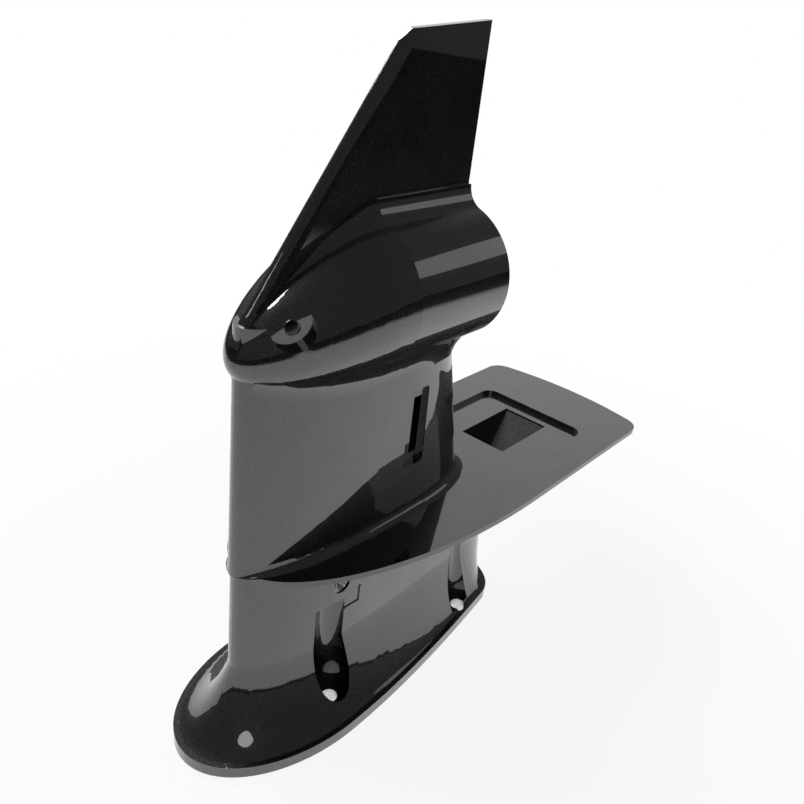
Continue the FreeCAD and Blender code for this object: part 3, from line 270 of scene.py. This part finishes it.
def casing_finish():
    material, shader, tap = new_finish("gloss_black_paint", Coat_Roughness=0.02, Coat_IOR=1.85,
                                       Specular_IOR_Level=0.2)
    where = place(tap)
    bare = machined(*coordinates(tap, where))
    flake = tap.node("ShaderNodeTexVoronoi", None,
                     {"Vector": where, "Scale": FLAKES_PER_METRE}, output="Color")
    chance = tap.node("ShaderNodeSeparateColor", None, {0: flake}, output=0)
    spark = chance.ramp(0.9, 1.0)
    paint = spark.mix(PAINT_DARK, FLAKE_BRIGHT)
    cut = noise(tap, where, 900.0, 2.0).ramp(0.3, 0.7).mix(CUT_DARK, CUT_LIGHT)
    haze = noise(tap, where, 38.0).ramp(0.3, 0.75, 0.8, 1.15)
    wave = noise(tap, where, 55.0, 1.0)
    feed(shader, Base_Color=bare.mix(paint, cut), Metallic=bare | (spark * 0.9 + 0.05),
         Roughness=haze * BASE_ROUGHNESS * (1 - bare) + bare * CUT_ROUGHNESS,
         Coat_Weight=1 - bare, Normal=bump(tap, wave, WAVE_DEPTH, 0.35))
    return material


nodes["lower_casing"].material_slots[0].material = casing_finish()
print("painted lower_casing,", len(nodes["lower_casing"].data.polygons), "faces")

# %% [markdown]
# Turned metal. Shafts' bushes, bearing rings and gear blanks come off a lathe, so their
# tool marks are rings round their own axis. Noise that only knows the place along the axis
# and the distance from it gives such rings at any size, with no picture wrapped round them.
# A second, coarser noise breaks the colour up as oil and handling do.

# %% Metal finish
def metal_finish(name, dark, light, roughness, axis=None, marks=2600.0, blotches=130.0,
                 depth=0.004):
    """Bare metal, with tool marks round an axis, or an even grain where axis is None."""
    material, shader, tap = new_finish(name, Metallic=1.0)
    where = pattern = place(tap)
    if axis:
        x, y, z = coordinates(tap, where)
        along, out = {"propeller": (x, far_from(y, z, PROPELLER_AXIS)),
                      "drive": (z, far_from(x, y, DRIVE_AXIS))}[axis]
        pattern = tap.node("ShaderNodeCombineXYZ", None, {0: along, 1: out})
    cut = noise(tap, pattern, marks, 2.0)
    stain = noise(tap, where, blotches, 5.0)
    rough = cut.ramp(0.3, 0.7, roughness * 0.75, roughness * 1.3) + stain * (roughness * 0.3)
    feed(shader, Base_Color=stain.ramp(0.32, 0.7).mix(colour(*dark), colour(*light)),
         Roughness=rough, Normal=bump(tap, cut, depth * MM, 0.6))
    return material


print("metals can be made")

# %% [markdown]
# The metals inside. The carrier is cast and turned aluminium. Gears are hardened steel, dark
# from oil and heat. Bearing rings are ground, so their marks are finer and shallower, and
# balls and rollers are almost mirrors. Cages are brass, and the bushes are sintered bronze
# with a fine speckle. One recipe with other numbers makes them all, so that they look like
# they came out of one workshop. Pieces on the drive shaft's axis get a finish of their own,
# because their rings run round that axis.

# %% Metals
GEAR = ((0.17, 0.165, 0.16), (0.34, 0.335, 0.33), 0.3)
RING = ((0.48, 0.49, 0.5), (0.68, 0.69, 0.7), 0.16)
BRONZE = ((0.34, 0.19, 0.09), (0.56, 0.36, 0.19), 0.36)
GROUND = {"marks": 4200.0, "blotches": 90.0, "depth": 0.001}
SPECKLE = {"marks": 2200.0, "blotches": 700.0}

carrier_aluminium = metal_finish("carrier_aluminium", (0.36, 0.37, 0.38), (0.6, 0.61, 0.62),
                                 0.34, "propeller", marks=1500.0)
stainless = metal_finish("stainless_steel", (0.5, 0.49, 0.47), (0.66, 0.65, 0.63), 0.24,
                         marks=3000.0)
gear_steel = metal_finish("gear_steel", *GEAR, "propeller")
pinion_steel = metal_finish("pinion_steel", *GEAR, "drive")
ring_steel = metal_finish("ring_steel", *RING, "propeller", **GROUND)
pinion_ring_steel = metal_finish("pinion_ring_steel", *RING, "drive", **GROUND)
ball_steel = metal_finish("ball_steel", (0.6, 0.61, 0.62), (0.74, 0.75, 0.76), 0.08,
                          marks=2400.0, blotches=300.0, depth=0.0005)
cage_brass = metal_finish("cage_brass", (0.5, 0.33, 0.12), (0.72, 0.52, 0.23), 0.28,
                          "propeller", marks=1800.0)
bush_bronze = metal_finish("bush_bronze", *BRONZE, "propeller", **SPECKLE)
sleeve_bronze = metal_finish("sleeve_bronze", *BRONZE, "drive", **SPECKLE)
thread_metal = metal_finish("cut_thread", (0.4, 0.41, 0.42), (0.62, 0.63, 0.64), 0.26,
                            marks=1800.0)
print("metals", len(bpy.data.materials))

# %% [markdown]
# Seal rubber. It is almost black, moulded, and dull, with a fine grain from the mould and a
# little grey bloom where it has dried. Both are noise: a fine one for the grain's roughness
# and bump, and a coarse one for the bloom's colour.

# %% Rubber
RUBBER_DARK, RUBBER_BLOOM = colour(0.012, 0.012, 0.013), colour(0.035, 0.035, 0.036)


def rubber_finish():
    material, shader, tap = new_finish("black_rubber", Specular_IOR_Level=0.35)
    where = place(tap)
    grain = noise(tap, where, 1800.0)
    bloom = noise(tap, where, 210.0, 5.0)
    feed(shader, Base_Color=bloom.ramp(0.35, 0.75).mix(RUBBER_DARK, RUBBER_BLOOM),
         Roughness=grain.ramp(0.3, 0.7, 0.5, 0.72), Normal=bump(tap, grain, 0.02 * MM, 0.5))
    return material


rubber = rubber_finish()
print("rubber ready")

# %% [markdown]
# Dressing the solids. Each CAD node keeps its shape and only changes its material.

# %% Which node wears which finish
FINISHES = (
    (carrier_aluminium, ("bearing_carrier",)),
    (stainless, ("carrier_bolts", "carrier_washers")),
    (gear_steel, ("forward_gear", "reverse_gear")),
    (pinion_steel, ("pinion",)),
    (ring_steel, ("reverse_bearing_outer", "reverse_bearing_inner", "forward_bearing_cup",
                  "forward_bearing_cone", "reverse_gear_shim", "forward_gear_shim")),
    (pinion_ring_steel, ("pinion_bearing_shell", "pinion_thrust_washer")),
    (ball_steel, ("reverse_bearing_balls", "forward_bearing_rollers", "pinion_needles")),
    (cage_brass, ("reverse_bearing_cage", "forward_bearing_cage")),
    (bush_bronze, ("propeller_shaft_bush", "reverse_gear_bush", "forward_gear_bush")),
    (sleeve_bronze, ("drive_shaft_sleeve", "shift_rod_bush")),
    (rubber, ("carrier_o_ring", "propeller_shaft_seals", "drive_shaft_seals",
              "shift_rod_o_ring")),
)
dressed = {"lower_casing"}
for finish, names in FINISHES:
    for name in names:
        for slot in nodes[name].material_slots:
            slot.material = finish
        dressed.add(name)
print("finishes", len(FINISHES) + 1, "bare nodes", sorted(set(nodes) - dressed))

# %% [markdown]
# Threads. The drain and level holes are tapped to take a plug. In the CAD model they are
# plain holes at the size of the thread's inner diameter. A tap leaves a V-shaped groove that
# climbs at one pitch per turn. Here a V-shaped ridge climbs the wall of the plain hole, which
# looks the same from the mouth, and its outer edge is sunk a little into the wall.

# %% A thread's ridge
PITCH, RIDGE_HEIGHT, RIDGE_WIDTH = 1.25, 0.42, 1.125
SUNK, END_GAP = 0.06, 0.75


def add_piece(name, data, material):
    """A piece that rides on the casing."""
    piece = bpy.data.objects.new(name, data)
    bpy.context.collection.objects.link(piece)
    data.materials.append(material)
    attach(piece, "casing")


def thread_ridge(name, mount, steps=28):
    """A helical ridge along a threaded hole of the record, with a thinned run at each end."""
    radius, length = mount["dims"]["r_mm"], mount["dims"]["length_mm"]
    axis, centre = Vector(mount["axis"]).normalized(), Vector(mount["pos_m"])
    side = axis.orthogonal().normalized()
    across = axis.cross(side)
    turns = (length - 2 * END_GAP) / PITCH
    count = int(turns * steps)
    corners, faces = [], []
    for step in range(count + 1):
        angle = math.tau * step / steps
        out = side * math.cos(angle) + across * math.sin(angle)
        level = PITCH * (step / steps - turns / 2)
        grow = min(1.0, step / steps, (count - step) / steps)
        profile = ((radius + SUNK, -RIDGE_WIDTH / 2), (radius - RIDGE_HEIGHT * grow, 0.0),
                   (radius + SUNK, RIDGE_WIDTH / 2))
        for reach, offset in profile:
            corners.append(centre + out * (reach * MM) + axis * ((level + offset) * MM))
    for low in range(0, 3 * count, 3):
        for first, second in ((0, 1), (1, 2), (2, 0)):
            faces.append((low + first, low + second, low + 3 + second, low + 3 + first))
    faces += [(0, 2, 1), (3 * count, 3 * count + 1, 3 * count + 2)]
    mesh = bpy.data.meshes.new(name)
    mesh.from_pydata(corners, [], faces)
    mesh.update()
    add_piece(name, mesh, thread_metal)
    print(name, "turns", round(turns, 1), "faces", len(faces))


thread_ridge("drain_thread", mounts["drain_hole"])
thread_ridge("level_thread", mounts["level_hole"])

# %% [markdown]
# Seal springs. A lip seal is pressed on its shaft by a garter spring: a fine coil whose two
# ends meet in a ring, lying in the hollow behind the lip. It is drawn as a curve that winds
# round a ring, with a thin round bevel, because a curve keeps the wire round and cheap.

# %% Garter springs
COIL_RADIUS, WIRE_RADIUS = 0.5, 0.17


def garter_spring(name, centre, axis, ring, turns, steps=9):
    """A closed coil whose ring, of a radius in millimetres, lies round an axis."""
    axis = Vector(axis)
    side = axis.orthogonal().normalized()
    across = axis.cross(side)
    curve = bpy.data.curves.new(name, "CURVE")
    curve.dimensions = "3D"
    curve.bevel_depth = WIRE_RADIUS * MM
    curve.bevel_resolution = 1
    spline = curve.splines.new("POLY")
    spline.points.add(turns * steps - 1)
    for index, point in enumerate(spline.points):
        round_ring = math.tau * index / (turns * steps)
        round_coil = math.tau * index / steps
        out = side * math.cos(round_ring) + across * math.sin(round_ring)
        reach = ring + COIL_RADIUS * math.cos(round_coil)
        rise = COIL_RADIUS * math.sin(round_coil)
        point.co = (*(Vector(centre) + out * (reach * MM) + axis * (rise * MM)), 1)
    spline.use_cyclic_u = True
    add_piece(name, curve, stainless)


seals_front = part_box("propeller_shaft_seals")[0][0]
for name, start in (("inner_seal_spring", 2.5), ("outer_seal_spring", 9.0)):
    garter_spring(name, (seals_front + start * MM, *PROPELLER_AXIS), (1, 0, 0), 10.7, 64)
seals_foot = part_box("drive_shaft_seals")[0][2]
for name, start in (("upper_seal_spring", 2.6), ("lower_seal_spring", 9.6)):
    garter_spring(name, (*DRIVE_AXIS, seals_foot + start * MM), (0, 0, 1), 8.2, 52)
print("seal springs on", round(seals_front, 4), "and", round(seals_foot, 4))

# %% [markdown]
# The studio. Gloss black shows nothing but its surroundings, so what stands round the object
# matters more than how bright the lamps are. A pale table near the object gives the flat grey
# on the flanks. Where the reflected table ends, a dark room begins, and it leaves the torpedo
# and the skeg nearly black. The camera sees the table and the room as white, so the light on
# the object stays plain.

# %% Floor
FLOOR_REACH, FLOOR_DROP = 4.0, 0.1
TABLE_CENTRE = (0.05, 0.0)


def studio_floor():
    mesh = bpy.data.meshes.new("floor")
    corners = [(x * FLOOR_REACH, y * FLOOR_REACH, -FLOOR_DROP * MM)
               for x, y in ((-1, -1), (1, -1), (1, 1), (-1, 1))]
    mesh.from_pydata(corners, [], [(0, 1, 2, 3)])
    floor = bpy.data.objects.new("floor", mesh)
    bpy.context.collection.objects.link(floor)
    mesh.materials.append(floor_finish())


def floor_finish():
    """White to the camera, a lit table to reflections near by and dark to those far off."""
    material, shader, tap = new_finish("pale_floor", Roughness=0.9)
    x, y, _ = coordinates(tap, place(tap))
    seen, glossy, through = (tap.node("ShaderNodeLightPath", output=f"Is {kind} Ray")
                             for kind in ("Camera", "Glossy", "Transmission"))
    mirrored = glossy | through
    away = far_from(x, y, TABLE_CENTRE)
    near = away.ramp(0.6, 0.95, 1.0, 0.0)
    feed(shader, Base_Color=(near | (1 - mirrored)).mix(grey(0.02), grey(0.85)))
    white = seen * away.ramp(0.15, 0.5, 0.9, 1.0) | mirrored * near
    glow = tap.node("ShaderNodeEmission", None, {"Color": grey(1.0), "Strength": 1.0})
    lit = Tap(tap.tree, shader.outputs[0])
    pale = tap.node("ShaderNodeMixShader", None, {0: white, 1: lit, 2: glow})
    clear = tap.node("ShaderNodeBsdfTransparent")
    underside = tap.node("ShaderNodeNewGeometry", output="Backfacing")
    shown = tap.node("ShaderNodeMixShader", None, {0: underside, 1: pale, 2: clear})
    tap.tree.links.new(shown.socket, tap.tree.nodes["Material Output"].inputs[0])
    return material


studio_floor()
print("floor", 2 * FLOOR_REACH, "m wide")

# %% [markdown]
# The room and its lamps. The lamps are soft ovals, placed where the photograph's highlights
# say a window or a lamp stood: one behind the nose, one beside the torpedo, a pale wall far
# behind the plate, and a weak one in front. The overhead lamp lights the table from the port
# side, where this camera doesn't see its reflection.

# %% Room and lamps
MIDDLE = (0.05, 0.0, 0.15)
TORPEDO_NOSE, TORPEDO_SIDE = (-0.05, 0.0, 0.24), (0.05, 0.0, 0.24)
LAMPS = (  # name, place, aim, size, power in watts
    ("overhead", (0.1, 1.15, 1.25), MIDDLE, (0.8, 0.8), 15),
    ("behind_nose", (-0.40, 0.56, 1.22), TORPEDO_NOSE, (0.5, 0.26), 4),
    ("side_window", (1.08, -0.68, 0.78), TORPEDO_SIDE, (0.7, 0.4), 0.5),
    ("far_wall", (1.2, 0.8, 0.95), MIDDLE, (1.2, 0.7), 1.6),
    ("front", (-0.75, -0.9, 0.75), MIDDLE, (0.35, 0.35), 0.8),
)


def area_lamp(name, stand, aim, size, power):
    lamp = bpy.data.lights.new(name, "AREA")
    lamp.shape = "ELLIPSE"
    lamp.size, lamp.size_y = size
    lamp.energy = power
    item = bpy.data.objects.new(name, lamp)
    item.location = stand
    item.rotation_euler = (Vector(aim) - Vector(stand)).to_track_quat("-Z", "Y").to_euler()
    bpy.context.collection.objects.link(item)


def room():
    world = bpy.data.worlds.new("room")
    world.use_nodes = True
    bpy.context.scene.world = world
    tap = Tap(world.node_tree)
    seen = tap.node("ShaderNodeLightPath", output="Is Camera Ray")
    background = world.node_tree.nodes["Background"]
    tap.tree.links.new(seen.mix(grey(0.12), grey(1.0)).socket, background.inputs[0])


room()
for lamp in LAMPS:
    area_lamp(*lamp)
print("lamps", len(LAMPS))
